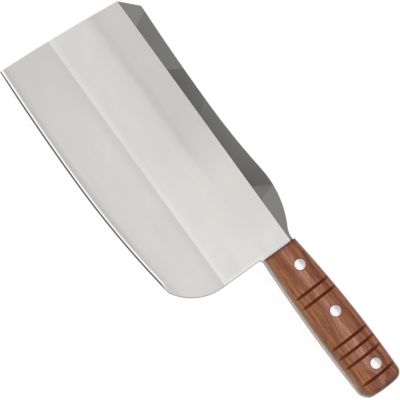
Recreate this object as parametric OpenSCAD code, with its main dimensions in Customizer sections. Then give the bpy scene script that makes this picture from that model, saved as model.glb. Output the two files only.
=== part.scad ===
// Chinese cleaver: one steel plate that is blade and full tang, two wooden scales and three
// two-part rivets. The knife lies flat. X runs from the front of the blade to the butt of the
// handle, Y runs from the cutting edge to the spine, and Z is square to the blade.
// The construction is drawn from the front end of the upper ridge line, at mid thickness, and
// place() then moves it so that the origin is under the middle of the whole knife.

/* [Blade outline] */
// Length of the upper ridge line, from the front edge to the heel edge
blade_len = 202.9; // [185:0.1:220]
// Depth from the upper ridge line to the lowest point of the cutting edge
blade_depth = 98.4; // [90:0.1:108]
// Distance from the front of the ridge line to the lowest point of the cutting edge
edge_low_x = 85.5; // [70:0.5:110]
// Radius of the cutting edge in front of its lowest point
edge_front_r = 1600; // [1000:50:2400]
// Radius of the cutting edge behind its lowest point
edge_rear_r = 660; // [560:10:800]
// How far the front edge leans forward at the cutting edge
front_lean = 7.5; // [4:0.5:12]
// Radius of the slight bow of the front edge
front_bow_r = 1480; // [900:10:2200]
// Length of the corner that is cut off between the front edge and the spine
clip_len = 12.2; // [8:0.1:18]
// Radius of the rounded heel corner
heel_r = 38; // [33:0.5:44]
// How far the circle of the heel corner would reach below the cutting edge
heel_dip = 2.5; // [1.2:0.1:4.5]
// Radius of the small fillet between the heel edge and the tang
heel_fillet_r = 2.5; // [1:0.25:4]

/* [Spine] */
// Height of the spine over the ridge line where it is lowest
spine_low = 10.1; // [8:0.1:12]
// Distance from the front of the ridge line to the lowest point of the spine
spine_low_x = 94.6; // [85:0.1:100]
// Radius of the hollow spine in front of its lowest point
spine_front_r = 1700; // [1100:50:2400]
// Radius of the hollow spine behind its lowest point
spine_rear_r = 520; // [480:10:600]
// Distance from the heel edge forward to the top of the shoulder
shoulder_back = 43.3; // [41:0.1:45]
// Height of the neck over the ridge line
neck_h = 2; // [1.5:0.1:2.5]
// Distance from the heel edge forward to the lowest point of the neck
neck_lead = 0.5; // [0:0.1:1]
// Radius of the hollow between shoulder and neck
neck_r = 14; // [11:0.5:16]

/* [Grinds] */
// Thickness of the steel plate
plate_t = 2.5; // [2:0.1:3.2]
// Thickness that the spine is ground down to at the top of its shoulder
spine_t = 1; // [0.7:0.1:1.4]
// Distance from the upper ridge line down to the start of the long grind
grind_depth = 56.1; // [48:0.1:62]
// Thickness behind the sharpening bevel
shoulder_t = 0.8; // [0.6:0.05:1]
// Height of the whole sharpening bevel
bevel_h = 2.35; // [2:0.05:3]
// Height of the steeper honed strip at the edge
honed_h = 1.15; // [0.9:0.05:1.4]
// Length over which both strips narrow to nothing at the heel
heel_fade = 8; // [4:0.5:16]
// Thickness where the honed strip starts
honed_t = 0.48; // [0.4:0.02:0.56]
// Thickness left at the very edge
edge_t = 0.08; // [0.06:0.01:0.12]

/* [Handle] */
// Length of the wooden scales
handle_len = 120.5; // [110:0.5:130]
// Gap between the heel edge and the front of the scales
handle_gap = 1.25; // [0.75:0.25:2.5]
// Height of the scales over the ridge line where they are highest
handle_top = 8.5; // [7:0.5:10]
// Distance from the front of the scales to that highest point
handle_top_x = 99; // [90:1:105]
// Radius of the scales' spine side
handle_top_r = 830; // [700:10:1000]
// Depth of the tang's belly under the ridge line
handle_low = 25.9; // [24:0.1:28]
// Distance from the front of the scales to the tang's lowest point
handle_low_x = 57; // [48:1:66]
// Radius of the tang's belly side
handle_low_r = 1110; // [900:10:1400]
// Radius of the butt's corner on the spine side
butt_spine_r = 5.5; // [4:0.5:7]
// Radius of the butt's corner on the belly side
butt_belly_r = 7.2; // [6:0.1:10]
// Radius of the butt's slight bow
butt_bow_r = 104; // [80:1:140]
// Depth under the ridge line of the point where the butt reaches furthest
butt_bow_low = 9.5; // [7:0.5:12]
// Half thickness of the handle at its front
crown_front = 9.6; // [8:0.1:11]
// Half thickness of the handle at its butt
crown_butt = 10.5; // [9:0.1:12]
// Half thickness up to which the scales' sides stand straight
flank_h = 3; // [2.4:0.1:4]
// Radius that rounds the scales down at the butt
butt_top_r = 4; // [3:0.5:5]
// Squareness of the section on the spine side
spine_power = 3; // [2.4:0.1:4]
// Squareness of the section on the belly side
belly_power = 2.4; // [2:0.1:3]
// Strip of tang left bare along the belly side
tang_reveal = 1.1; // [0.6:0.05:1.5]
// Steel ground off each face of the tang
tang_relief = 0.1; // [0.05:0.01:0.2]
// Gap in front of the scales where that relief starts
relief_gap = 0.4; // [0.2:0.05:0.8]
// Length over which the tang rises from the neck to the scales' spine side
neck_run = 6; // [4:0.5:10]

/* [Grooves] */
// Distances of the grooves from the front of the scales
groove_x = [35.1, 43.1, 78, 86, 94, 110.2];
// Width of a groove
groove_w = 2; // [1.6:0.1:2.6]
// Depth under the crown to the centre of a groove's round bottom
groove_sink = 1.6; // [1:0.1:2.2]

/* [Rivets] */
// Distances of the rivets from the front of the scales
rivet_x = [16.9, 57.1, 102.7];
// Depth of the front rivet under the ridge line
rivet_low = 6.3; // [5.5:0.1:7.5]
// Rise of the rivet row towards the butt, per millimetre of length
rivet_rise = 0.028; // [0.02:0.001:0.04]
// Diameter of a rivet head
head_d = 8; // [7:0.1:9]
// Thickness of a rivet head at its rim
head_t = 2.2; // [1.6:0.1:2.6]
// Height of the dome on a rivet head
dome_h = 0.4; // [0.2:0.05:0.6]
// Outer diameter of the rivet's socket tube
tube_d = 5.6; // [5:0.1:6]
// Diameter of the rivet's pin
pin_d = 3.9; // [3.4:0.1:4.2]
// Clearance all round in the bores and counterbores
fit = 0.05; // [0.02:0.01:0.1]
// Space left between a shank's end and what it points at
end_gap = 0.5; // [0.3:0.1:0.8]

/* [Hidden] */
$fn = 96;
steel = [0.80, 0.80, 0.79];
wood = [0.54, 0.32, 0.22];
bright = [0.88, 0.88, 0.87];

handle_x = blade_len + handle_gap;
handle_end = handle_x + handle_len;
tang_t = plate_t - 2 * tang_relief;
// How far the cutting tools reach past the steel
over = 4;
// Straight pieces that draw each arc of the outline. The front edge is almost straight, so three
// draw it to a tenth of a millimetre.
edge_steps = 9;
heel_steps = 18;
fillet_steps = 6;
neck_steps = 8;
shoulder_steps = 16;
spine_steps = 6;
bow_steps = 3;
butt_steps = 6;
// Pieces of the tool that cuts the long grind, and the share of their height that the strips of
// the sharpening bevel keep from the heel's tip on
grind_steps = 24;
least_share = 0.06;
// Degrees between the points of a scale's section
section_step = 9;

// Height of the steel's lower edge at a distance x from the front of the ridge line
function edge_r(x) = x < edge_low_x ? edge_front_r : edge_rear_r;
function edge_y(x) = edge_r(x) - blade_depth - sqrt(pow(edge_r(x), 2) - pow(x - edge_low_x, 2));

// Points of an arc, from point 1 on where the outline has already reached its start, the angle
// of a point seen from a centre, and the far centre of a chord's arc
function arc(c, r, a0, a1, n, first = 0) =
    [for (i = [first:n]) let (a = a0 + (a1 - a0) * i / n) c + r * [cos(a), sin(a)]];
function angle_to(c, p) = atan2(p[1] - c[1], p[0] - c[0]);
function chord_centre(p, q, r) =
    let (d = q - p, half = norm(d) / 2)
    (p + q) / 2 + sqrt(r * r - half * half) * [-d[1], d[0]] / norm(d);

// Where two circles cross, on the right of the way from the first centre to the second
function cross_point(c1, r1, c2, r2) =
    let (d = norm(c2 - c1), u = (c2 - c1) / d, along = (r1 * r1 - r2 * r2 + d * d) / (2 * d))
    c1 + along * u + sqrt(r1 * r1 - along * along) * [u[1], -u[0]];

// The shoulder is the one arc with its top at shoulder_x that touches both hollows beside it:
// the spine's, about spine_c, and the neck's, about neck_c
shoulder_x = blade_len - shoulder_back;
spine_c = [spine_low_x, spine_low + spine_rear_r];
neck_c = [blade_len - neck_lead, neck_h + neck_r];
span_f = shoulder_x - spine_c[0];
span_n = neck_c[0] - shoulder_x;
rise = spine_c[1] - neck_c[1];
ratio = (spine_rear_r - neck_r) / rise;
level = (span_f * span_f - span_n * span_n + pow(spine_c[1], 2) - pow(neck_c[1], 2)
    - pow(spine_rear_r, 2) + pow(neck_r, 2)) / (2 * rise);
lift = neck_c[1] - level;
qa = ratio * ratio - 1;
qb = 2 * (ratio * lift - neck_r);
qc = span_n * span_n + lift * lift - neck_r * neck_r;
// Both roots are real radii, and the smaller one is the shoulder's
shoulder_r = min([for (s = [-1, 1]) let (r = (-qb + s * sqrt(qb * qb - 4 * qa * qc)) / (2 * qa))
    r > 0 ? r : 1e6]);
shoulder_c = [shoulder_x, level - ratio * shoulder_r];
shoulder_h = shoulder_c[1] + shoulder_r;

// Corners of the blade
front_tip = [-front_lean, edge_y(-front_lean)];
spine_front_c = [spine_low_x, spine_low + spine_front_r];
clip_tip = [clip_len, spine_front_c[1] - sqrt(pow(spine_front_r, 2) - pow(clip_len - spine_low_x, 2))];
bow_c = chord_centre([0, 0], front_tip, front_bow_r);
edge_front_c = [edge_low_x, edge_front_r - blade_depth];
edge_rear_c = [edge_low_x, edge_rear_r - blade_depth];
heel_c = [blade_len - heel_r, edge_y(blade_len - heel_r) - heel_dip + heel_r];
heel_tip = cross_point(heel_c, heel_r, edge_rear_c, edge_rear_r);

// Handle outline: s is the distance from the front of the scales
function rounding(d, r) = d >= r ? 0 : r - sqrt(r * r - pow(r - d, 2));
function bowl(r, d) = r - sqrt(r * r - d * d);
function top_y(s) = handle_top - bowl(handle_top_r, s - handle_top_x)
    - rounding(handle_len - s, butt_spine_r);
function low_y(s) = bowl(handle_low_r, s - handle_low_x) - handle_low
    + rounding(handle_len - s, butt_belly_r);
function crown_z(s) = crown_front + (crown_butt - crown_front) * s / handle_len
    - rounding(handle_len - s, butt_top_r);
function rivet_y(s) = rivet_rise * (s - rivet_x[0]) - rivet_low;
function neck_dip(s) = (top_y(0) - neck_h) * max(0, 1 - s / neck_run);
butt_top = top_y(handle_len);
butt_low = low_y(handle_len);
butt_mid = (butt_top + butt_low) / 2;
// The butt's bow draws every station back a little, more so towards the butt
function bowed_x(s, y) = handle_x + s
    - pow(s / handle_len, 3) * pow(y + butt_bow_low, 2) / (2 * butt_bow_r);
// Stations lie evenly along the handle and close up round the corner at the butt
even_stations = 16;
corner_step = 15;
stations = concat(
    [for (i = [0:even_stations - 1]) (handle_len - butt_belly_r) * i / even_stations],
    [for (a = [0:corner_step:90]) handle_len - butt_belly_r * (1 - sin(a))]);
last = len(stations) - 1;

function tang_low(s) = [bowed_x(s, low_y(s)), low_y(s)];
function tang_top(s) = [bowed_x(s, top_y(s)), top_y(s) - neck_dip(s)];
heel_inner = [blade_len + heel_fillet_r, low_y(0) - heel_fillet_r];

outline = concat(
    arc(edge_front_c, edge_front_r, angle_to(edge_front_c, front_tip), -90, edge_steps, 1),
    arc(edge_rear_c, edge_rear_r, -90, angle_to(edge_rear_c, heel_tip), edge_steps, 1),
    arc(heel_c, heel_r, angle_to(heel_c, heel_tip), 0, heel_steps, 1),
    arc(heel_inner, heel_fillet_r, 180, 90, fillet_steps),
    [for (i = [1:last]) tang_low(stations[i])],
    [for (k = [1:butt_steps - 1]) let (y = butt_low + (butt_top - butt_low) * k / butt_steps)
        [bowed_x(handle_len, y), y]],
    [for (i = [last:-1:0]) tang_top(stations[i])],
    arc(neck_c, neck_r, -90, angle_to(neck_c, shoulder_c), neck_steps),
    arc(shoulder_c, shoulder_r, angle_to(shoulder_c, neck_c), angle_to(shoulder_c, spine_c),
        shoulder_steps, 1),
    arc(spine_c, spine_rear_r, angle_to(spine_c, shoulder_c), -90, spine_steps, 1),
    arc(spine_front_c, spine_front_r, -90, angle_to(spine_front_c, clip_tip), spine_steps, 1),
    arc(bow_c, front_bow_r, angle_to(bow_c, [0, 0]), angle_to(bow_c, front_tip), bow_steps));

// The whole knife's box, for the origin
low_z = max([for (x = rivet_x) crown_z(x)]) + dome_h;
mid_x = (handle_end - front_lean) / 2;
mid_y = (shoulder_h - blade_depth) / 2;

module place() {
    translate([-mid_x, -mid_y, low_z]) children();
}

// Faces of a tube of rings of n points, closed by a fan about one more point at either end
function tube_faces(rings, n) = concat(
    [for (j = [0:n - 1]) [rings * n, j, (j + 1) % n]],
    [for (i = [0:rings - 2], j = [0:n - 1]) let (a = i * n + j, b = i * n + (j + 1) % n)
        [a, a + n, b]],
    [for (i = [0:rings - 2], j = [0:n - 1]) let (a = i * n + j, b = i * n + (j + 1) % n)
        [b, a + n, b + n]],
    [for (j = [0:n - 1]) [rings * n + 1, (rings - 1) * n + (j + 1) % n, (rings - 1) * n + j]]);

// Removes the long grind and the two strips of the sharpening bevel from the upper face. Its
// section is a straight line from the ridge to the bevel at every x, between a straight ridge
// and a curved edge, so the ground face has a very slight twist, as a real one has.
grind_from = -front_lean - over;
grind_run = heel_tip[0] - heel_fade - grind_from;
grind_xs = concat([for (i = [0:grind_steps - 2]) grind_from + grind_run * i / (grind_steps - 2)],
    [heel_tip[0], blade_len + over]);
function share(x) = x < heel_tip[0] ? 1 : least_share;
function grind_ring(x) = [
    [x, -grind_depth, plate_t],
    [x, edge_y(x) - over, plate_t],
    [x, edge_y(x) - over, edge_t / 2],
    [x, edge_y(x), edge_t / 2],
    [x, edge_y(x) + share(x) * honed_h, honed_t / 2],
    [x, edge_y(x) + share(x) * bevel_h, shoulder_t / 2],
    [x, -grind_depth, plate_t / 2]];
// A point inside that ring, about which the tool's ends are closed
function ring_hub(x) = [x, (edge_y(x) - grind_depth) / 2, (plate_t / 2 + plate_t) / 2];
module grind_tool() {
    polyhedron(
        points = concat([for (x = grind_xs) each grind_ring(x)],
            [for (x = [grind_xs[0], grind_xs[grind_steps]]) ring_hub(x)]),
        faces = tube_faces(grind_steps + 1, len(grind_ring(0))));
}

// Removes the flat bevel along the spine and the relief on the tang, both from the upper face
module spine_tool() {
    slope = (plate_t - spine_t) / 2 / shoulder_h;
    far = shoulder_h + over;
    translate([-over, 0, 0]) rotate([90, 0, 90])
        linear_extrude(height = over + handle_x - relief_gap)
            polygon([[0, plate_t / 2], [far, plate_t / 2 - slope * far], [far, plate_t], [0, plate_t]]);
    translate([handle_x - relief_gap, -handle_low - over, tang_t / 2])
        cube([handle_len + 2 * over, handle_low + handle_top + 2 * over, plate_t]);
}

module at_rivets() {
    for (x = rivet_x) translate([handle_x + x, rivet_y(x), 0]) children();
}

// Plate with full tang, ground alike on both faces
module blade() {
    color(steel) place() difference() {
        translate([0, 0, -plate_t / 2]) linear_extrude(height = plate_t) polygon(outline);
        for (side = [0, 1]) mirror([0, 0, side]) {
            grind_tool();
            spine_tool();
        }
        at_rivets() cylinder(d = tube_d + 2 * fit, h = 2 * plate_t, center = true);
    }
}

// Section of a scale: straight flanks from the tang up, then two rounded quarters that meet at
// the crown over the rivet row, a tight one to the spine side and a slow one to the belly side
function quarter(a, power) = [pow(abs(cos(a)), 2 / power), pow(sin(a), 2 / power)];
function scale_ring(s) =
    let (spine = top_y(s), belly = low_y(s) + tang_reveal, crown = rivet_y(s), high = crown_z(s) - flank_h)
    concat(
        [[spine, tang_t / 2]],
        [for (a = [0:section_step:90 - section_step]) let (q = quarter(a, spine_power))
            [crown + (spine - crown) * q[0], flank_h + high * q[1]]],
        [for (a = [90:section_step:180]) let (q = quarter(a, belly_power))
            [crown + (belly - crown) * q[0], flank_h + high * q[1]]],
        [[belly, tang_t / 2]],
        [for (k = [1:5]) [belly + (spine - belly) * k / 6, tang_t / 2]]);
module scale_body() {
    ring = len(scale_ring(0));
    polyhedron(
        points = concat(
            [for (s = stations, p = scale_ring(s)) [bowed_x(s, p[0]), p[0], p[1]]],
            [[handle_x, rivet_y(0), flank_h], [handle_end, butt_mid, flank_h]]),
        faces = tube_faces(last + 1, ring));
}

// Slot with a round bottom, square to the rivet row, that runs out on the belly side where the
// surface falls below it
module groove_tool(s) {
    translate([handle_x + s, rivet_y(s), crown_z(s) - groove_sink]) rotate([0, 0, atan(rivet_rise)]) {
        rotate([90, 0, 0]) cylinder(d = groove_w, h = 4 * handle_low, center = true);
        translate([-groove_w / 2, -2 * handle_low, 0]) cube([groove_w, 4 * handle_low, crown_butt]);
    }
}

module scale_with_seats() {
    difference() {
        scale_body();
        for (s = groove_x) groove_tool(s);
        at_rivets() cylinder(d = tube_d + 2 * fit, h = 2 * crown_butt);
        for (x = rivet_x) translate([handle_x + x, rivet_y(x), crown_z(x) - head_t])
            cylinder(d = head_d + 2 * fit, h = crown_butt);
    }
}
module left_scale() {
    color(wood) place() scale_with_seats();
}
module right_scale() {
    color(wood) place() mirror([0, 0, 1]) scale_with_seats();
}

// A rivet is a domed head with a tube, pressed over a domed head with a pin. Both heads sit on
// the floors of their counterbores, and z is measured from the middle of the tang.
module head(floor_z) {
    ball_r = (pow(head_d / 2, 2) + dome_h * dome_h) / (2 * dome_h);
    intersection() {
        translate([0, 0, floor_z]) cylinder(d = head_d, h = head_t + dome_h);
        translate([0, 0, floor_z + head_t + dome_h - ball_r]) sphere(r = ball_r, $fn = 256);
    }
}
module rivet_socket(i) {
    floor_z = crown_z(rivet_x[i]) - head_t;
    color(bright) place() translate([handle_x + rivet_x[i], rivet_y(rivet_x[i]), 0]) {
        difference() {
            union() {
                head(floor_z);
                translate([0, 0, end_gap - floor_z]) cylinder(d = tube_d, h = 2 * floor_z);
            }
            translate([0, 0, -floor_z]) cylinder(d = pin_d + 2 * fit, h = 2 * floor_z - end_gap);
        }
    }
}
module rivet_pin(i) {
    floor_z = crown_z(rivet_x[i]) - head_t;
    color(bright) place() translate([handle_x + rivet_x[i], rivet_y(rivet_x[i]), 0]) {
        mirror([0, 0, 1]) head(floor_z);
        translate([0, 0, -floor_z]) cylinder(d = pin_d, h = 2 * floor_z - 2 * end_gap);
    }
}

blade();
left_scale();
right_scale();
rivet_socket(0);  // rivet_socket_front
rivet_socket(1);  // rivet_socket_middle
rivet_socket(2);  // rivet_socket_rear
rivet_pin(0);  // rivet_pin_front
rivet_pin(1);  // rivet_pin_middle
rivet_pin(2);  // rivet_pin_rear
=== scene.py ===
"""Chinese cleaver, dressed for the camera.

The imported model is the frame: the steel plate, the two scales and the rivets stand where it says.
This script gives the steel its ground and polished faces, carves the scales again with smooth
sides, puts polished heads on the rivets, and sets the floor, the light and the camera.
"""
import math

import bmesh
import bpy
from mathutils import Matrix, Vector


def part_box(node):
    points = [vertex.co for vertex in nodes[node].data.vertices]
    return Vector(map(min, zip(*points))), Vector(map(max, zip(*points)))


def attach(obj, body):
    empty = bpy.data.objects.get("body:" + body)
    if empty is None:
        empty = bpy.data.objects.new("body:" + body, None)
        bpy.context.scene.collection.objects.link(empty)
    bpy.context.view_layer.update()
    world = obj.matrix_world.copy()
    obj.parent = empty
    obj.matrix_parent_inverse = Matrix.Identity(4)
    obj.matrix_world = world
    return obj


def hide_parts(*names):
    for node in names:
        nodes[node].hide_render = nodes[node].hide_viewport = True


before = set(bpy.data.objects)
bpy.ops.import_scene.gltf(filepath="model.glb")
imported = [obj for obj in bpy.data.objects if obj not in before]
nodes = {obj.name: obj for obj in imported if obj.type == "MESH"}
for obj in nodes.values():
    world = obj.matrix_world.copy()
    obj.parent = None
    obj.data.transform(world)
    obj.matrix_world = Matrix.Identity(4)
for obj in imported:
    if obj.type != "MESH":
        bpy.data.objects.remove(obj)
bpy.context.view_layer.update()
MM = 0.001

# Sizes in millimetres, measured from the front end of the blade's upper ridge line at mid
# thickness, as a maker would lay the knife out
BLADE_LEN = 202.9
BLADE_DEPTH = 98.4
EDGE_LOW_X = 85.5
EDGE_FRONT_R = 1600.0
EDGE_REAR_R = 660.0
GRIND_DEPTH = 56.1
BEVEL_H = 2.35
HONED_H = 1.15
HEEL_TIP_X, HEEL_FADE = 183.9, 8.0
HEEL_R, HEEL_DIP, HEEL_FILLET_R = 38.0, 2.5, 2.5
PLATE_T = 2.5
SPINE_T = 1.0
SHOULDER_H = 13.7
TANG_T = 2.3
HANDLE_LEN, HANDLE_GAP = 120.5, 1.25
HANDLE_X = BLADE_LEN + HANDLE_GAP
HANDLE_TOP, HANDLE_TOP_X, HANDLE_TOP_R = 8.5, 99.0, 830.0
HANDLE_LOW, HANDLE_LOW_X, HANDLE_LOW_R = 25.9, 57.0, 1110.0
BUTT_SPINE_R, BUTT_BELLY_R, BUTT_TOP_R = 5.5, 7.2, 4.0
BUTT_BOW_R, BUTT_BOW_LOW = 104.0, 9.5
CROWN_FRONT, CROWN_BUTT = 9.6, 10.5
FLANK_H = 3.0
SPINE_POWER, BELLY_POWER = 3.0, 2.4
TANG_REVEAL = 1.1
GROOVE_X = [35.1, 43.1, 78.0, 86.0, 94.0, 110.2]
GROOVE_W, GROOVE_SINK = 2.0, 1.6
# The layout y at which each groove ends on the belly side, and the length of its run-out and how
# deep the groove is where that starts
GROOVE_END_Y = [-23.4, -23.4, -23.9, -23.7, -23.4, -21.0]
RUN_OUT_LEN, RUN_OUT_DEPTH = 6.0, 1.4
RIVET_X = [16.9, 57.1, 102.7]
RIVET_LOW, RIVET_RISE = 6.3, 0.028
HEAD_D, HEAD_T, DOME_H, HEAD_RIM_R = 8.0, 2.2, 0.4, 0.15
FIT = 0.05

# Where that layout's zero lies in the frame
blade_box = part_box("blade")
ORIGIN = Vector((blade_box[1][0] / MM - HANDLE_X - HANDLE_LEN,
                 blade_box[0][1] / MM + BLADE_DEPTH,
                 (blade_box[0][2] + blade_box[1][2]) / 2 / MM))


def place(x, y, z):
    """A point of the layout, in metres in the frame."""
    return Vector((x, y, z)) * MM + ORIGIN * MM


def rgb(r, g, b):
    """A colour given as screen values from 0 to 255, as the shader's linear values."""
    return tuple((c / 255 / 12.92) if c / 255 <= 0.04045 else ((c / 255 + 0.055) / 1.055) ** 2.4
                 for c in (r, g, b)) + (1.0,)


# Handle outline, as functions of the distance s from the front of the scales
def rounding(d, r):
    return 0.0 if d >= r else r - math.sqrt(max(0.0, r * r - (r - d) ** 2))


def bowl(r, d):
    return r - math.sqrt(r * r - d * d)


def top_y(s):
    return HANDLE_TOP - bowl(HANDLE_TOP_R, s - HANDLE_TOP_X) - rounding(HANDLE_LEN - s, BUTT_SPINE_R)


def low_y(s):
    return bowl(HANDLE_LOW_R, s - HANDLE_LOW_X) - HANDLE_LOW + rounding(HANDLE_LEN - s, BUTT_BELLY_R)


def crown_z(s):
    return (CROWN_FRONT + (CROWN_BUTT - CROWN_FRONT) * s / HANDLE_LEN
            - rounding(HANDLE_LEN - s, BUTT_TOP_R))


def rivet_y(s):
    return RIVET_RISE * (s - RIVET_X[0]) - RIVET_LOW


BUTT_MID = (top_y(HANDLE_LEN) + low_y(HANDLE_LEN)) / 2
# Centre of the scales' round belly corner at the butt
BUTT_BELLY_S = HANDLE_LEN - BUTT_BELLY_R
BUTT_BELLY_Y = low_y(BUTT_BELLY_S) + TANG_REVEAL + BUTT_BELLY_R


def bowed_x(s, y):
    return HANDLE_X + s - (s / HANDLE_LEN) ** 3 * (y + BUTT_BOW_LOW) ** 2 / (2 * BUTT_BOW_R)


def slanted(s, y):
    """Distance along the handle at y on a line through s that lies as the grooves do, square to
    the rivet row, and that straightens up towards both ends of the scale."""
    in_front = GROOVE_X[0] - GROOVE_W
    behind = HANDLE_LEN - GROOVE_X[-1] - GROOVE_W
    fade = max(0.0, min(1.0, s / in_front, (HANDLE_LEN - s) / behind))
    return s - fade * RIVET_RISE * (y - rivet_y(s))


def groove_bottom(s):
    """Height of a groove's round bottom at s, its rise over the bottom's middle and where the groove
    ends, or None between the grooves."""
    half = GROOVE_W / 2
    for g, end_y in zip(GROOVE_X, GROOVE_END_Y):
        if abs(s - g) < half:
            rise = half - math.sqrt(half * half - (s - g) ** 2)
            return crown_z(g) - GROOVE_SINK - half + rise, rise, end_y
    return None


def groove_depth(y, z, bottom):
    """Depth of a groove at a point of the scale's section. The cutter lifts out of the wood gently
    on the belly side."""
    if bottom is None:
        return 0.0
    floor, rise, end_y = bottom
    from_end = (y - end_y) / RUN_OUT_LEN
    run_out = RUN_OUT_DEPTH * (1 - (1 - from_end) ** 2) if from_end < 1 else 0.0
    return max(0.0, z - floor, run_out - rise)


# Shader maths on sockets
class Val:
    """A float socket that takes part in Python expressions."""

    def __init__(self, mat, socket):
        self.mat, self.socket = mat, socket

    def math(self, operation, *others):
        return self.mat.math(operation, self, *others)

    def __add__(self, other):
        return self.math("ADD", other)

    __radd__ = __add__

    def __mul__(self, other):
        return self.math("MULTIPLY", other)

    __rmul__ = __mul__

    def __sub__(self, other):
        return self.math("SUBTRACT", other)

    def __rsub__(self, other):
        return self.mat.math("SUBTRACT", other, self)

    def __truediv__(self, other):
        return self.math("DIVIDE", other)


class Mat:
    """A node material with one way to make any node."""

    def __init__(self, name):
        self.material = bpy.data.materials.new(name)
        self.material.use_nodes = True
        self.tree = self.material.node_tree
        self.shader = self.tree.nodes["Principled BSDF"]

    def put(self, socket, value):
        if isinstance(value, Val):
            value = value.socket
        if isinstance(value, bpy.types.NodeSocket):
            self.tree.links.new(value, socket)
        elif value is not None:
            socket.default_value = value

    def node(self, kind, settings=None, inputs=None, output=0):
        node = self.tree.nodes.new(kind)
        for key, value in (settings or {}).items():
            if key == "stops":
                ramp = node.color_ramp
                ramp.interpolation = "EASE"
                while len(ramp.elements) < len(value):
                    ramp.elements.new(0.5)
                for element, (position, colour) in zip(ramp.elements, value):
                    element.position, element.color = position, colour
            else:
                setattr(node, key, value)
        for key, value in (inputs or {}).items():
            self.put(node.inputs[key], value)
        return node.outputs[output]

    def math(self, operation, *values):
        return Val(self, self.node("ShaderNodeMath", {"operation": operation}, dict(enumerate(values))))

    def mix(self, factor, low, high, blend="MIX"):
        return self.node("ShaderNodeMix", {"data_type": "RGBA", "blend_type": blend},
                         {0: factor, 6: low, 7: high}, output=2)

    def step(self, value, start, end):
        """0 before start, 1 after end, smooth between them."""
        return Val(self, self.node("ShaderNodeMapRange", {"interpolation_type": "SMOOTHSTEP"},
                                   {0: value, 1: start, 2: end}))

    def layout_axes(self):
        """Object coordinates as the layout's own x, y and z, in millimetres."""
        coords = self.node("ShaderNodeTexCoord", output=3)
        moved = self.node("ShaderNodeVectorMath", {"operation": "SCALE"}, {0: coords, "Scale": 1 / MM})
        moved = self.node("ShaderNodeVectorMath", {"operation": "SUBTRACT"}, {0: moved, 1: ORIGIN})
        split = self.tree.nodes.new("ShaderNodeSeparateXYZ")
        self.put(split.inputs[0], moved)
        return moved, [Val(self, split.outputs[i]) for i in range(3)]

    def stretched(self, vector, x, y, z):
        return self.node("ShaderNodeVectorMath", {"operation": "MULTIPLY"}, {0: vector, 1: (x, y, z)})

    def distance(self, dx, dy):
        return self.math("SQRT", dx * dx + dy * dy)

    def noise(self, vector, scale, detail=2.0, rough=0.5, distortion=0.0):
        return Val(self, self.node("ShaderNodeTexNoise", {"noise_dimensions": "3D"}, {
            "Vector": vector, "Scale": scale, "Detail": detail, "Roughness": rough,
            "Distortion": distortion}))

    def finish(self, color, roughness, metallic, bump=None, **others):
        self.put(self.shader.inputs["Base Color"], color)
        self.put(self.shader.inputs["Roughness"], roughness)
        self.put(self.shader.inputs["Metallic"], metallic)
        for key, value in others.items():
            self.put(self.shader.inputs[key.replace("_", " ")], value)
        if bump is not None:
            height, strength, distance = bump
            self.put(self.shader.inputs["Normal"], self.node("ShaderNodeBump", None, {
                "Height": height, "Strength": strength, "Distance": distance}))
        return self.material


# Steel: satin flats, a slightly cooler long grind, a polished spine bevel and a sharpened edge
POLISHED = rgb(206, 205, 203)
# Painted reflections on the sharpening bevel's bright strip and the honed strip's dark one
EDGE_HIGHLIGHT = rgb(238, 238, 237)
HONED_DARK_REFLECTION = rgb(108, 108, 108)
TANG_STEEL = rgb(224, 220, 211)
# Painted shade on the plate's rounded rim and where the spine bevel meets the scales
RIM_SHADE = rgb(150, 149, 145)
NECK_SHADE = rgb(118, 112, 106)


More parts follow.
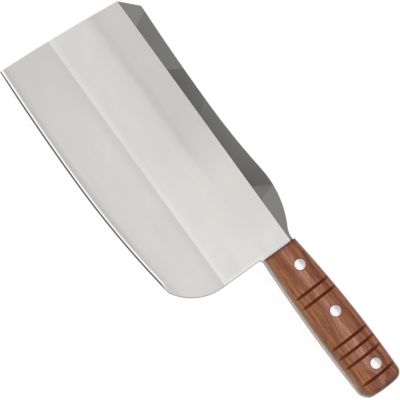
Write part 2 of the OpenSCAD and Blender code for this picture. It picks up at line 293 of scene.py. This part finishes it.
def blade_steel():
    m = Mat("blade_steel")
    vector, (x, y, _) = m.layout_axes()
    # Fine scratches of the belt run from spine to edge
    scratches = m.noise(m.stretched(vector, 9.0, 0.12, 9.0), 1.0, 3.0)
    clouds = m.noise(m.stretched(vector, 0.02, 0.05, 0.0), 1.0, 2.0)
    # Painted reflection: the flat is a little darker towards the spine and lighter towards the heel
    below = -GRIND_DEPTH
    near_spine = m.step(y, -30.0, -19.0)
    near_heel = m.step(x, 88.0, 150.0)
    flat = m.mix(near_spine, m.mix(near_heel, rgb(216, 214, 212), rgb(223, 221, 217)),
                 m.mix(near_heel, rgb(206, 204, 202), rgb(220, 218, 214)))
    # A darker line that sways a little is painted along the flat, a painted reflection
    sway = (m.noise(m.stretched(vector, 0.035, 0.0, 0.0), 1.0, 2.0) - 0.5) * 5.0
    dark_reflection_line = 1 - m.step(m.math("ABSOLUTE", y + 20.1 + sway), 0.8, 4.4)
    flat = m.mix(dark_reflection_line * (1 - near_heel) * 0.28, flat, rgb(190, 188, 186))
    flat = m.mix(m.step(x, 160.0, 176.0), flat, (1.0, 1.0, 1.03, 1.0), "MULTIPLY")
    # Next to the scales it is painted brighter, painted light that outweighs the scales' shade and dark
    # reflection there
    flat = m.mix(m.step(x, 174.0, 194.0) * m.step(y, -36.0, -16.0) * 0.6, flat, rgb(228, 226, 224))
    flat = m.mix(m.step(x, HANDLE_X - 5.0, HANDLE_X), flat, rgb(244, 242, 238))
    # A painted highlight lies along the ridge, and more so towards the heel
    ridge_highlight = m.step(y, below + 5.5, below + 1.0) * (0.45 + near_heel * 0.45)
    flat = m.mix(ridge_highlight, flat, rgb(229, 228, 226))
    # The long grind is painted darkest right under the ridge and towards the front, a painted reflection
    grind = m.mix(m.step(y, below, below - 9.0), rgb(207, 205, 203), rgb(213, 211, 209))
    grind = m.mix(m.step(y, below - 20.0, below - 36.0), grind, rgb(209, 208, 206))
    grind = m.mix((1 - m.step(x, -10.0, 85.0)) * 0.8, grind, rgb(199, 198, 197))
    # A hand-held belt leaves the ridge a little uneven
    ridge = below + (m.noise(m.stretched(vector, 0.22, 0.0, 0.0), 1.0, 3.0, 0.6) - 0.5) * 1.4
    base = m.mix(m.step(y - ridge, -0.3, 0.3), grind, flat)
    # Long soft streaks along the blade and slow clouds, in warmer and cooler greys
    streaks = m.noise(m.stretched(vector, 0.012, 0.11, 0.0), 1.0, 3.0, 0.55, 0.3)
    patches = m.noise(m.stretched(vector, 0.03, 0.06, 0.0), 1.0, 4.0, 0.6)
    tone = 1 + (scratches - 0.5) * 0.10 + (clouds - 0.5) * 0.05 + (streaks + patches - 1.0) * 0.07
    warm = (patches - 0.5) * 0.05
    tint = m.node("ShaderNodeCombineColor", None, {0: tone + warm, 1: tone, 2: tone - warm})
    base = m.mix(1.0, base, tint, "MULTIPLY")
    # The rim of the plate is broken by hand; at the heel and along the bare strip of tang on the belly
    # side its rounding is painted dark, a painted shade
    heel_x, fillet_x = BLADE_LEN - HEEL_R, BLADE_LEN + HEEL_FILLET_R
    heel_y = bowl(EDGE_REAR_R, heel_x - EDGE_LOW_X) - BLADE_DEPTH - HEEL_DIP + HEEL_R
    fillet_y = low_y(0.0) - HEEL_FILLET_R
    on_tang = m.step(x, fillet_x - 0.1, fillet_x)
    heel_dx = m.math("MAXIMUM", x - heel_x, 0.0)
    heel_dy = m.math("MINIMUM", y - heel_y, 0.0)
    from_heel = HEEL_R - m.distance(heel_dx, heel_dy)
    from_fillet = m.distance(x - fillet_x, y - fillet_y) - HEEL_FILLET_R
    from_tang = HANDLE_LOW_R - m.distance(x - HANDLE_X - HANDLE_LOW_X, y + HANDLE_LOW - HANDLE_LOW_R)
    inset = m.math("MINIMUM", from_heel + m.step(y, fillet_y, fillet_y + 0.1) * HANDLE_LEN, from_fillet)
    inset = m.math("MINIMUM", inset, from_tang + (1 - on_tang) * HANDLE_LOW_R)
    base = m.mix(on_tang, base, TANG_STEEL)
    # Painted shade on the rounded rim, lighter further along the tang
    rim_shade = 1 - m.step(inset, 0.2, 0.8)
    base = m.mix(rim_shade * (1 - m.step(x, fillet_x + 4.0, fillet_x + 22.0) * 0.35), base, RIM_SHADE)
    # Polished bevel along the spine; where it meets the scales a narrow strip is painted dark, a painted
    # shade
    at_spine, at_neck = m.step(y, -0.4, 0.1), m.step(x, HANDLE_X - 0.8, HANDLE_X - 0.5)
    on_bevel = at_spine * (1 - at_neck)
    base = m.mix(on_bevel, m.mix(at_spine * at_neck, base, NECK_SHADE), POLISHED)
    # Sharpening bevel: distance from the edge's two arcs
    ahead = 1 - m.step(x, EDGE_LOW_X - 0.1, EDGE_LOW_X + 0.1)

    def from_arc(radius):
        dx = x - EDGE_LOW_X
        dy = y - (radius - BLADE_DEPTH)
        return radius - m.distance(dx, dy)

    inside = from_arc(EDGE_FRONT_R) * ahead + from_arc(EDGE_REAR_R) * (1 - ahead)
    # The long grind is shaded just above it, less so towards the heel
    shaded = 1 - m.step(inside, BEVEL_H + 0.2, BEVEL_H + 5.0)
    shaded = shaded * (1 - m.step(x, 130.0, HEEL_TIP_X) * 0.6)
    base = m.mix(shaded, base, rgb(190, 189, 188))
    # Both strips narrow towards the heel
    share = m.math("MAXIMUM", m.math("MINIMUM", (HEEL_TIP_X - x) / HEEL_FADE, 1.0), 0.01)
    on_edge = 1 - m.step(inside / share, BEVEL_H - 0.55, BEVEL_H + 0.2)
    # The honed one narrows at the front corner too
    honed_h = HONED_H * (0.5 + m.step(x, -8.0, 2.0) * 0.35 + m.step(x, 0.0, 30.0) * 0.15)
    honed = 1 - m.step(inside / share, honed_h - 0.1, honed_h + 0.1)
    # Painted reflections: the sharpening bevel is painted bright and the honed strip below it dark
    base = m.mix(on_edge, base, EDGE_HIGHLIGHT)
    base = m.mix(honed, base, HONED_DARK_REFLECTION)
    polish = m.math("MAXIMUM", on_bevel, on_edge)
    roughness = m.math("MAXIMUM", 0.36 + (scratches - 0.5) * 0.12 - polish, 0.015)
    height = scratches * (1 - polish)
    return m.finish(base, roughness, 1.0, bump=(height, 0.15, 0.02 * MM))


# Wood: red-brown and oiled. Its grain follows a light rosy band along the rivets, partly figure and
# partly a painted highlight along the crown, with dark streaks beside it, given as points (distance from
# the front of the scales, layout y)
ROSY_SHEEN_GRAIN = [(0, -10.0), (20, -9.5), (38, -7.6), (62, -7.8), (84, -9.0), (97, -8.4), (108, -6.5),
              (121, -9.0)]
UPPER_GRAIN = [(0, -1.5), (14, 0.4), (28, -2.2), (46, 1.5), (62, 1.8), (96, 1.6), (108, 0.8),
               (121, -6.0)]
LOWER_GRAIN = [(0, -13.6), (12, -13.2), (26, -15.5), (46, -12.6), (70, -12.8), (96, -13.5),
               (121, -14.0)]
# The layout's y values that the ends of a ramp stand for, because a ramp holds 0 to 1
GRAIN_TOP, GRAIN_LOW = 10.0, -30.0


def handle_wood():
    m = Mat("handle_wood")
    vector, (x, y, z) = m.layout_axes()
    s = x - HANDLE_X
    # Slow waves bend the grain
    wave = m.noise(m.stretched(vector, 0.045, 0.06, 0.06), 1.0, 2.0) - 0.5
    bent = y + wave * 3.6

    def beside(points, width):
        """1 on a line of the grain, 0 further from it than the width."""
        span = GRAIN_TOP - GRAIN_LOW
        stops = []
        for at, low in points:
            grey = (low - GRAIN_LOW) / span
            stops.append((at / HANDLE_LEN, (grey, grey, grey, 1.0)))
        line = Val(m, m.node("ShaderNodeValToRGB", {"stops": stops}, {0: s / HANDLE_LEN}))
        away = m.math("ABSOLUTE", bent - (line * span + GRAIN_LOW))
        return 1 - m.step(away, 0.0, width)

    # The rosy band is partly the wood's figure and partly a painted highlight along the crown
    rosy_sheen = beside(ROSY_SHEEN_GRAIN, 5.0 + m.step(s, 70.0, 80.0) * 3.6 - m.step(s, 98.0, 108.0) * 3.6)
    upper, lower = beside(UPPER_GRAIN, 2.6), beside(LOWER_GRAIN, 2.4)
    flow = m.node("ShaderNodeCombineXYZ", None, {0: s, 1: bent + rosy_sheen * 1.5, 2: z})
    streaks = m.noise(m.stretched(flow, 0.026, 0.50, 0.50), 1.0, 4.0, 0.62, 0.4)
    fibres = m.noise(m.stretched(flow, 0.16, 2.6, 2.6), 1.0, 3.0, 0.6)
    pores = m.noise(m.stretched(flow, 0.45, 4.0, 4.0), 1.0, 1.0)
    shade = streaks * 0.58 + fibres * 0.42 + rosy_sheen * 0.07 - upper * 0.10 - lower * 0.05
    orange = m.node("ShaderNodeValToRGB", {"stops": [
        (0.30, rgb(87, 35, 11)), (0.42, rgb(127, 62, 31)), (0.52, rgb(156, 89, 50)),
        (0.62, rgb(180, 115, 72)), (0.74, rgb(206, 146, 102))]}, {0: shade})
    # Paler, pinker colours for the rosy band, partly a painted highlight
    blush_sheen = m.node("ShaderNodeValToRGB", {"stops": [
        (0.30, rgb(93, 40, 25)), (0.42, rgb(134, 70, 49)), (0.52, rgb(165, 99, 74)),
        (0.62, rgb(190, 129, 105)), (0.74, rgb(215, 166, 146))]}, {0: shade})
    # The belly side is more golden
    golden = m.mix(1 - m.step(y, -21.0, -13.0), orange, (1.04, 1.16, 0.98, 1.0), "MULTIPLY")
    color = m.mix(m.step(rosy_sheen, 0.1, 0.75), golden, blush_sheen)
    color = m.mix(m.step(pores, 0.60, 0.72) * 0.45, color, rgb(86, 38, 20))
    # Darker behind the last groove. Painted shade darkens a line along the front end, the rounded butt
    # end, more so towards the spine, and a ring round each rivet head
    color = m.mix(m.step(s, 108.0, 113.0), color, (0.83, 0.80, 0.76, 1.0), "MULTIPLY")
    ends = (1 - m.step(s, 0.3, 1.8)) * 0.6 + (1 - m.step(s, 0.5, 5.0)) * 0.5
    bow = y + BUTT_BOW_LOW
    to_end = HANDLE_LEN - s - bow * bow / (2 * BUTT_BOW_R)
    ends = ends + (1 - m.step(to_end, 0.2, 4.6)) * (0.25 + m.step(y, -16.0, -9.0) * 0.75)
    for at in RIVET_X:
        dx, dy = s - at, y - rivet_y(at)
        away = m.distance(dx, dy)
        ends = m.math("MAXIMUM", ends, 1 - m.step(away, HEAD_D / 2 + 0.1, HEAD_D / 2 + 0.8))
    # The rounded edges are painted greyer and the one beside the bare tang paler still, a painted sheen
    from_spine = HANDLE_TOP_R - m.distance(s - HANDLE_TOP_X, y - HANDLE_TOP + HANDLE_TOP_R)
    color = m.mix((1 - m.step(from_spine, 0.3, 3.4)) * 0.35, color, rgb(118, 106, 98))
    from_belly = HANDLE_LOW_R - TANG_REVEAL - m.distance(s - HANDLE_LOW_X, y + HANDLE_LOW - HANDLE_LOW_R)
    from_middle = m.math("ABSOLUTE", z)
    color = m.mix((1 - m.step(from_belly, 0.2, 2.8)) * 0.4, color, rgb(128, 113, 108))
    pale_sheen = (1 - m.step(from_belly, 0.35, 0.8)) * (1 - m.step(from_middle, 1.6, 3.4))
    pale_sheen = pale_sheen * (1 - m.step(s, BUTT_BELLY_S - 24.0, BUTT_BELLY_S))
    color = m.mix(pale_sheen * 0.85, color, rgb(222, 209, 194))
    # Painted shade at the ends and round the rivets
    color = m.mix(ends * 0.8, color, rgb(64, 26, 14))
    # A dark line of painted shade round the belly corner of the butt
    corner_ds = m.math("MAXIMUM", s - BUTT_BELLY_S, 0.0)
    corner_dy = m.math("MINIMUM", y - BUTT_BELLY_Y, 0.0)
    corner = m.distance(corner_ds, corner_dy)
    corner_shade = m.step(corner, BUTT_BELLY_R - 1.2, BUTT_BELLY_R - 0.4)
    corner_shade = corner_shade * m.step(s, BUTT_BELLY_S - 6.0, BUTT_BELLY_S)
    color = m.mix(corner_shade * (1 - m.step(y, -19.0, -16.0)) * 0.6, color, rgb(64, 42, 34))
    # Inside the grooves the wood is a deeper brown, partly its own colour and partly painted shade,
    # less so towards both their ends
    groove = Val(m, m.node("ShaderNodeAttribute", {"attribute_name": "groove"}, output=2))
    run_out = 1 - m.step(y, 0.0, 6.0) * 0.5 - m.step(y, -20.0, -25.0) * 0.5
    color = m.mix(groove * run_out * 0.92, color, rgb(120, 50, 12))
    roughness = 0.42 + (fibres - 0.5) * 0.25 + groove * 0.4
    # Hands polish the flanks most
    polish = (0.5 - m.step(from_middle, 3.0, 7.0) * 0.25) * (1 - groove)
    return m.finish(color, roughness, 0.0, bump=(fibres + streaks, 0.2, 0.08 * MM),
                    Specular_IOR_Level=0.4, Coat_Weight=polish, Coat_Roughness=0.3)


def rivet_steel():
    m = Mat("rivet_steel")
    vector, (x, y, _) = m.layout_axes()
    marks = m.noise(vector, 0.8, 4.0, 0.65)
    base = m.mix(marks, rgb(228, 226, 224), rgb(255, 254, 252))
    # The side towards the spine is painted greyer, a painted shade
    up = y - rivet_y(x - HANDLE_X)
    base = m.mix(m.step(up, -1.5, 3.0) * 0.5, base, rgb(188, 187, 188))
    return m.finish(base, 0.24 + (marks - 0.5) * 0.2, 1.0)


STEEL = blade_steel()
WOOD = handle_wood()
RIVET = rivet_steel()


def dress(obj, material):
    obj.data.materials.clear()
    obj.data.materials.append(material)


def add_mesh(name, verts, faces, material):
    mesh = bpy.data.meshes.new(name)
    mesh.from_pydata(verts, [], faces)
    mesh.validate()
    obj = bpy.data.objects.new(name, mesh)
    bpy.context.scene.collection.objects.link(obj)
    dress(obj, material)
    return obj


def smooth_by_angle(obj, degrees):
    mesh = obj.data
    mesh.polygons.foreach_set("use_smooth", [True] * len(mesh.polygons))
    bm = bmesh.new()
    bm.from_mesh(mesh)
    limit = math.radians(degrees)
    for edge in bm.edges:
        edge.smooth = len(edge.link_faces) == 2 and edge.calc_face_angle(0.0) < limit
    bm.to_mesh(mesh)
    bm.free()


# Steps along each rounded quarter of a scale's section, the depth from which a groove is fully
# dark, and the distance within which a scale's points are joined, in metres
QUARTER_STEPS = 40
DARK_DEPTH = 0.5
JOIN_WITHIN = 1e-7


def scale_section(s):
    """Points (distance, y, z) of a scale's slanted section, each with how dark the groove is there."""
    bottom = groove_bottom(s)
    last = 2 * QUARTER_STEPS
    points = []
    for k in range(-1, last + 2):
        a = math.pi * min(max(k, 0), last) / last
        power = SPINE_POWER if a < math.pi / 2 else BELLY_POWER
        at = s
        for _ in range(2):
            side = top_y(at) if a < math.pi / 2 else low_y(at) + TANG_REVEAL
            y = rivet_y(at) + (side - rivet_y(at)) * abs(math.cos(a)) ** (2 / power)
            at = slanted(s, y)
        z = FLANK_H + (crown_z(at) - FLANK_H) * max(0.0, math.sin(a)) ** (2 / power)
        if k < 0 or k > last:
            points.append((at, y, TANG_T / 2, 0.0))
            continue
        depth = groove_depth(y, z, bottom)
        points.append((at, y, z - depth, min(1.0, depth / DARK_DEPTH)))
    return points


def scale_stations():
    """Distances along the handle, close together at the grooves' walls and at the butt."""
    pitch, half = 2.0, GROOVE_W / 2
    # How far outside a groove its walls and its rims' neighbours lie, and how far every other
    # station keeps off
    wall, beyond, clear = 0.06, 0.4, 0.3
    just_inside = 0.999 * half
    marks = [i * pitch for i in range(int((HANDLE_LEN - BUTT_BELLY_R) / pitch) + 1)]
    marks += [HANDLE_LEN - BUTT_BELLY_R * (1 - math.sin(math.radians(a))) for a in range(0, 91, 5)]
    marks = [s for s in marks if all(abs(s - g) > half + clear for g in GROOVE_X)]
    for g in GROOVE_X:
        for out in (wall, beyond):
            marks += [g - half - out, g + half + out]
        marks += [g + just_inside * math.sin(math.radians(a)) for a in range(-90, 91, 15)]
    return sorted(marks)


def carve_scale(name, side):
    """One scale as a smooth loft with its grooves, side is 1 for the left and -1 for the right."""
    stations = scale_stations()
    verts, faces, groove = [], [], []
    for s in stations:
        for at, y, z, dark in scale_section(s):
            verts.append(place(bowed_x(at, y), y, side * z))
            groove.append(dark)
    ring = len(verts) // len(stations)
    for i in range(len(stations) - 1):
        for j in range(ring):
            a, b = i * ring + j, i * ring + (j + 1) % ring
            faces.append((a, b, b + ring, a + ring))
    for i, flip in ((0, True), (len(stations) - 1, False)):
        hub = len(verts)
        s = stations[i]
        y, z = (rivet_y(s), FLANK_H) if flip else (BUTT_MID, FLANK_H)
        verts.append(place(bowed_x(s, y), y, side * z))
        groove.append(0.0)
        for j in range(ring):
            a, b = i * ring + j, i * ring + (j + 1) % ring
            faces.append((b, a, hub) if flip else (a, b, hub))
    obj = add_mesh(name, verts, faces, WOOD)
    layer = obj.data.attributes.new("groove", "FLOAT", "POINT")
    layer.data.foreach_set("value", groove)
    bm = bmesh.new()
    bm.from_mesh(obj.data)
    bmesh.ops.remove_doubles(bm, verts=bm.verts, dist=JOIN_WITHIN)
    bmesh.ops.recalc_face_normals(bm, faces=bm.faces)
    bm.to_mesh(obj.data)
    bm.free()
    cut_seats(obj, side)
    smooth_by_angle(obj, 32)
    return obj


def cut_seats(scale, side):
    """Cut the counterbores that the rivets' heads sit in."""
    for s in RIVET_X:
        floor = crown_z(s) - HEAD_T
        r = (HEAD_D / 2 + FIT) * MM
        tool = lathe("seat_tool", [(0, 0), (r, 0), (r, 2 * HEAD_T * MM), (0, 2 * HEAD_T * MM)], WOOD)
        if side < 0:
            tool.data.transform(Matrix.Rotation(math.pi, 4, "X"))
        tool.data.transform(Matrix.Translation(place(HANDLE_X + s, rivet_y(s), side * floor)))
        cut = scale.modifiers.new("seat", "BOOLEAN")
        cut.object, cut.operation, cut.solver = tool, "DIFFERENCE", "EXACT"
        depsgraph = bpy.context.evaluated_depsgraph_get()
        made = bpy.data.meshes.new_from_object(scale.evaluated_get(depsgraph))
        scale.modifiers.clear()
        scale.data = made
        bpy.data.objects.remove(tool)
    scale.data.name = scale.name


def lathe(name, profile, material, turns=64):
    """A closed solid turned about Z from (radius, height) points, both ends on the axis."""
    verts, faces = [], []
    for r, z in profile[1:-1]:
        for k in range(turns):
            a = 2 * math.pi * k / turns
            verts.append((r * math.cos(a), r * math.sin(a), z))
    rows = len(profile) - 2
    for i in range(rows - 1):
        for k in range(turns):
            a, b = i * turns + k, i * turns + (k + 1) % turns
            faces.append((a, b, b + turns, a + turns))
    low, high = len(verts), len(verts) + 1
    verts += [(0, 0, profile[0][1]), (0, 0, profile[-1][1])]
    for k in range(turns):
        faces.append(((k + 1) % turns, k, low))
        top = (rows - 1) * turns
        faces.append((top + k, top + (k + 1) % turns, high))
    obj = add_mesh(name, verts, faces, material)
    smooth_by_angle(obj, 30)
    return obj


def rivet_head_profile():
    """Domed head with a small turned-down rim, from its seat up, in metres."""
    r, top_r, dome_steps = HEAD_D / 2, HEAD_D / 2 - HEAD_RIM_R, 8
    points = [(0, 0), (r, 0), (r, HEAD_T - HEAD_RIM_R)]
    for a in (math.radians(30), math.radians(60)):
        points.append((top_r + HEAD_RIM_R * math.cos(a), HEAD_T - HEAD_RIM_R + HEAD_RIM_R * math.sin(a)))
    for k in range(dome_steps + 1):
        rho = top_r * (1 - k / dome_steps)
        points.append((rho, HEAD_T + DOME_H * (1 - (rho / top_r) ** 2)))
    return [(radius * MM, height * MM) for radius, height in points]


def rivet_row():
    """The six heads: a Geometry Nodes tree puts the turned head at each seat, on both sides."""
    head = lathe("rivet_head", rivet_head_profile(), RIVET)
    seats = [place(HANDLE_X + s, rivet_y(s), crown_z(s) - HEAD_T) for s in RIVET_X]
    mesh = bpy.data.meshes.new("rivet_seats")
    mesh.from_pydata(seats, [], [])
    obj = bpy.data.objects.new("rivet_heads", mesh)
    bpy.context.scene.collection.objects.link(obj)
    tree = bpy.data.node_groups.new("rivet_row", "GeometryNodeTree")
    for name, kind in (("Seats", "NodeSocketGeometry"), ("Head", "NodeSocketObject"),
                       ("Middle height", "NodeSocketFloat"), ("Steel", "NodeSocketMaterial")):
        tree.interface.new_socket(name, in_out="INPUT", socket_type=kind)
    tree.interface.new_socket("Geometry", in_out="OUTPUT", socket_type="NodeSocketGeometry")
    new, link = tree.nodes.new, tree.links.new
    given, result = new("NodeGroupInput"), new("NodeGroupOutput")
    source = new("GeometryNodeObjectInfo")
    link(given.outputs["Head"], source.inputs["Object"])
    near = new("GeometryNodeInstanceOnPoints")
    link(given.outputs["Seats"], near.inputs["Points"])
    link(source.outputs["Geometry"], near.inputs["Instance"])
    # The far side is the near one turned half round the handle's own line
    turned = new("GeometryNodeInstanceOnPoints")
    turned.inputs["Rotation"].default_value = (math.pi, 0, 0)
    link(source.outputs["Geometry"], turned.inputs["Instance"])
    position, split, join_xyz = (new(kind) for kind in (
        "GeometryNodeInputPosition", "ShaderNodeSeparateXYZ", "ShaderNodeCombineXYZ"))
    twice, below = new("ShaderNodeMath"), new("ShaderNodeMath")
    twice.operation, below.operation = "MULTIPLY", "SUBTRACT"
    link(given.outputs["Middle height"], twice.inputs[0])
    twice.inputs[1].default_value = 2.0
    link(position.outputs[0], split.inputs[0])
    link(twice.outputs[0], below.inputs[0])
    link(split.outputs[2], below.inputs[1])
    for i in (0, 1):
        link(split.outputs[i], join_xyz.inputs[i])
    link(below.outputs[0], join_xyz.inputs[2])
    across = new("GeometryNodeSetPosition")
    link(given.outputs["Seats"], across.inputs["Geometry"])
    link(join_xyz.outputs[0], across.inputs["Position"])
    link(across.outputs[0], turned.inputs["Points"])
    both, real, paint = (new(kind) for kind in (
        "GeometryNodeJoinGeometry", "GeometryNodeRealizeInstances", "GeometryNodeSetMaterial"))
    link(near.outputs[0], both.inputs[0])
    link(turned.outputs[0], both.inputs[0])
    link(both.outputs[0], real.inputs[0])
    link(real.outputs[0], paint.inputs["Geometry"])
    link(given.outputs["Steel"], paint.inputs["Material"])
    link(paint.outputs[0], result.inputs[0])
    modifier = obj.modifiers.new("rivet_row", "NODES")
    modifier.node_group = tree
    ids = {item.name: item.identifier for item in tree.interface.items_tree if item.in_out == "INPUT"}
    modifier[ids["Head"]] = head
    modifier[ids["Middle height"]] = ORIGIN.z * MM
    modifier[ids["Steel"]] = RIVET
    depsgraph = bpy.context.evaluated_depsgraph_get()
    made = bpy.data.meshes.new_from_object(obj.evaluated_get(depsgraph))
    obj.modifiers.clear()
    obj.data = made
    obj.data.name = "rivet_heads"
    bpy.data.objects.remove(head)
    return obj


# The steel plate keeps the frame's own mesh
dress(nodes["blade"], STEEL)

for side, node, name in ((1, "left_scale", "left_wood_scale"), (-1, "right_scale", "right_wood_scale")):
    scale = carve_scale(name, side)
    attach(scale, "root")
    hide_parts(node)

heads = rivet_row()
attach(heads, "root")
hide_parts("rivet_socket_front", "rivet_socket_middle", "rivet_socket_rear",
            "rivet_pin_front", "rivet_pin_middle", "rivet_pin_rear")

# Floor: white to the camera and to what mirrors it, and pale grey to the light
FLOOR_SIZE = 6.0
FLOOR_GREY = 0.93
FLOOR_GLOW, GLOW_SHARE = 1.05, 0.88


def floor_paint():
    m = Mat("floor_paint")
    tree = m.tree
    m.finish((FLOOR_GREY, FLOOR_GREY, FLOOR_GREY, 1), 0.9, 0.0)
    glow = m.node("ShaderNodeEmission", None, {"Color": (1, 1, 1, 1), "Strength": FLOOR_GLOW})
    ray = tree.nodes.new("ShaderNodeLightPath")
    seen = m.math("MAXIMUM", ray.outputs["Is Camera Ray"], ray.outputs["Is Glossy Ray"])
    mixed = m.node("ShaderNodeMixShader", None, {0: seen * GLOW_SHARE, 1: m.shader.outputs[0], 2: glow})
    m.put(tree.nodes["Material Output"].inputs["Surface"], mixed)
    return m.material


half = FLOOR_SIZE / 2
floor = add_mesh("floor", [(-half, -half, 0), (half, -half, 0), (half, half, 0), (-half, half, 0)],
                 [(0, 1, 2, 3)], floor_paint())

# Camera: over the left face, leaning a little to the belly side
LEAN = math.radians(12)
PX_SIZE = 0.69 * MM
PHOTO_W = 400
# Where the upper ridge line starts in the picture, and which way it runs there
RIDGE_START_PX = (117.1, 1.3)
RIDGE_DIR_PX = (0.587, 0.810)
CAMERA_FAR, CLIP_FAR = 6.0, 20.0
SENSOR_W = 36.0

toward = Vector((0, -math.sin(LEAN), math.cos(LEAN)))
along = Vector((1, 0, 0))
across = toward.cross(along)
right = along * RIDGE_DIR_PX[0] + across * RIDGE_DIR_PX[1]
up = across * RIDGE_DIR_PX[0] - along * RIDGE_DIR_PX[1]
centre_px = PHOTO_W / 2
target = (place(0, 0, PLATE_T / 2) + right * (centre_px - RIDGE_START_PX[0]) * PX_SIZE
          - up * (centre_px - RIDGE_START_PX[1]) * PX_SIZE)
camera_data = bpy.data.cameras.new("camera")
camera_data.sensor_width = SENSOR_W
camera_data.lens = SENSOR_W * CAMERA_FAR / (PHOTO_W * PX_SIZE)
camera_data.clip_end = CLIP_FAR
camera = bpy.data.objects.new("camera", camera_data)
camera.matrix_world = (Matrix.Translation(target + toward * CAMERA_FAR)
                       @ Matrix((right, up, toward)).transposed().to_4x4())
bpy.context.scene.collection.objects.link(camera)
bpy.context.scene.camera = camera


# Light: an even room, a broad soft box over the knife that the satin faces mirror, and a row of
# grey cards beyond it that only the polished bevel along the spine mirrors
ROOM_LIGHT = 0.80
BOX_GLOW = 0.35
BOX_AT = (0.0, 0.19, 1.6)
BOX_SIZE = (1.6, 0.76)
CARD_Z = 0.8
BEVEL_TILT = math.atan2((PLATE_T - SPINE_T) / 2, SHOULDER_H)
# Where a card's joint is mirrored: blade length at the ridge line and at the top of the shoulder
CARD_JOINTS = [(-40, -40), (22.4, 15.1), (58.4, 66.3), (97.9, 87.9), (103.0, 95.0), (134.0, 134.0),
               (157.9, 165.5), (169.3, 165.5), (235, 235)]
# Each card's tone at its front and rear joint, and how much it grows for each mm up the bevel
CARD_TONES = [(0.365, 0.370, 0.002), (0.290, 0.300, 0.006), (0.212, 0.225, 0.018), (0.262, 0.243, 0.020),
              (0.243, 0.243, 0.020), (0.243, 0.192, 0.012), (0.283, 0.283, 0.0), (0.360, 0.360, 0.0)]
CARD_ROWS = [-25.0, 0.0, SHOULDER_H, 32.0]


def add_lamp(name, spot, size, glow):
    data = bpy.data.lights.new(name, "AREA")
    data.shape, (data.size, data.size_y) = "RECTANGLE", size
    data.energy = glow * math.pi * size[0] * size[1]
    lamp = bpy.data.objects.new(name, data)
    lamp.location = spot
    bpy.context.scene.collection.objects.link(lamp)


def mirrored(x, y):
    """The point at the cards' height that the camera sees in the spine bevel at (x, y)."""
    spot = place(x, y, PLATE_T / 2 - y * math.tan(BEVEL_TILT))
    ray = (spot - camera.location).normalized()
    normal = Vector((0, math.sin(BEVEL_TILT), math.cos(BEVEL_TILT)))
    out = ray - 2 * ray.dot(normal) * normal
    return spot + out * (CARD_Z - spot.z) / out.z


def card_paint():
    m = Mat("card_paint")
    tone = m.node("ShaderNodeAttribute", {"attribute_name": "tone"})
    glow = m.node("ShaderNodeEmission", None, {"Color": tone, "Strength": 1.0})
    m.put(m.tree.nodes["Material Output"].inputs["Surface"], glow)
    return m.material


add_lamp("soft_box", BOX_AT, BOX_SIZE, BOX_GLOW)
CARD_PAINT = card_paint()
for i, (front, rear, growth) in enumerate(CARD_TONES):
    corners, tones = [], []
    for y in CARD_ROWS:
        for (low, high), tone in ((CARD_JOINTS[i], front), (CARD_JOINTS[i + 1], rear)):
            corners.append(mirrored(low + (high - low) * min(y, SHOULDER_H) / SHOULDER_H, y))
            tones.append(tone * (1 + growth * (y - SHOULDER_H / 3)))
    card = add_mesh(f"card_{i}", corners, [(k, k + 1, k + 3, k + 2) for k in (0, 2, 4)], CARD_PAINT)
    card.data.attributes.new("tone", "FLOAT", "POINT").data.foreach_set("value", tones)

world = bpy.data.worlds.new("room")
bpy.context.scene.world = world
world.use_nodes = True
background = world.node_tree.nodes["Background"]
background.inputs["Color"].default_value = (1, 1, 1, 1)
background.inputs["Strength"].default_value = ROOM_LIGHT

bpy.context.scene.view_settings.view_transform = "Standard"
